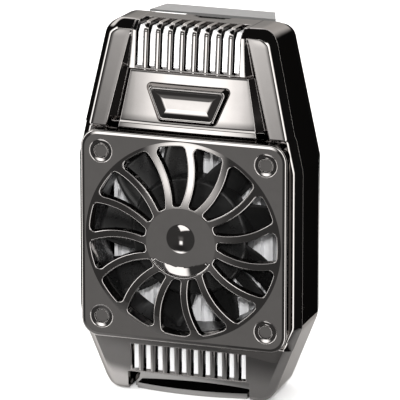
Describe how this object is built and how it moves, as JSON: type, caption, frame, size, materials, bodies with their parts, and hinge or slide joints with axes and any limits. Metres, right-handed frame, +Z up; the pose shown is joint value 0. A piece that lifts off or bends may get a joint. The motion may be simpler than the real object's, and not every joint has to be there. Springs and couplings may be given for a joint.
{
  "type": "phone cooling fan",
  "caption": "Clip-on phone cooler: a grilled fan in a plated shell with vents, a thermoelectric cold plate and a spring-loaded sliding jaw.",
  "frame": {"origin": "centre of the soft pad's outer face, where the phone's back rests", "axes": "+Y out of the pad towards the phone, the fan faces -Y, +Z up along the shell towards the fixed jaw"},
  "size_m": [0.0434, 0.032, 0.0715],
  "materials": {
    "black_chrome": "black chrome plating on moulded plastic",
    "rear_plastic": "satin",
    "jaw_plastic": "gloss",
    "rubber": "matt",
    "aluminium": "bright",
    "silicone": "soft",
    "fan_plastic": "semi-gloss",
    "steel": "bright",
    "copper": "enamelled wire",
    "bronze": "sintered",
    "magnet": "bonded ferrite",
    "circuit_board": "solder mask",
    "chip": "moulded",
    "ceramic": "matt",
    "pellet": "sintered",
    "lead_jacket": "soft",
    "light": "milky",
    "nylon": "plain"
  },
  "bodies": {
    "housing": {"front_shell": "black_chrome", "fan_grille": "black_chrome", "hood_badge": "black_chrome", "grille_pins": "black_chrome", "rear_cover": "rear_plastic", "upper_jaw": "jaw_plastic", "upper_jaw_pad": "rubber", "tec_gasket": "rubber", "heat_sink": "aluminium", "cold_plate": "aluminium", "thermal_pad": "silicone", "fan_frame": "fan_plastic", "usb_tongue": "fan_plastic", "stator_core": "steel", "sink_screws": "steel", "rear_screws": "steel", "jaw_screws": "steel", "usb_socket": "steel", "clip_spring_left": "steel", "clip_spring_right": "steel", "stator_coils": "copper", "bearing_sleeve": "bronze", "motor_board": "circuit_board", "control_board": "circuit_board", "board_chips": "chip", "tec_hot_plate": "ceramic", "tec_cold_plate": "ceramic", "tec_pellets": "pellet", "tec_leads": "lead_jacket", "light_pipe": "light", "status_led": "light"},
    "rotor": {"impeller": "fan_plastic", "rotor_yoke": "steel", "magnet_ring": "magnet", "shaft": "steel", "shaft_clip": "nylon"},
    "slider": {"lower_jaw": "jaw_plastic", "lower_jaw_pad": "rubber"}
  },
  "joints": [
    {"name": "fan_spin", "type": "hinge", "parent": "housing", "child": "rotor", "pos_m": [0, -0.0133, 0], "axis": [0, 1, 0], "continuous": true},
    {"name": "jaw_slide", "type": "slide", "parent": "housing", "child": "slider", "axis": [0, 0, -1], "range_m": [0, 0.02], "stiffness_N_per_m": 200, "springref_m": -0.01, "deforming": ["clip_spring_left", "clip_spring_right"]}
  ]
}
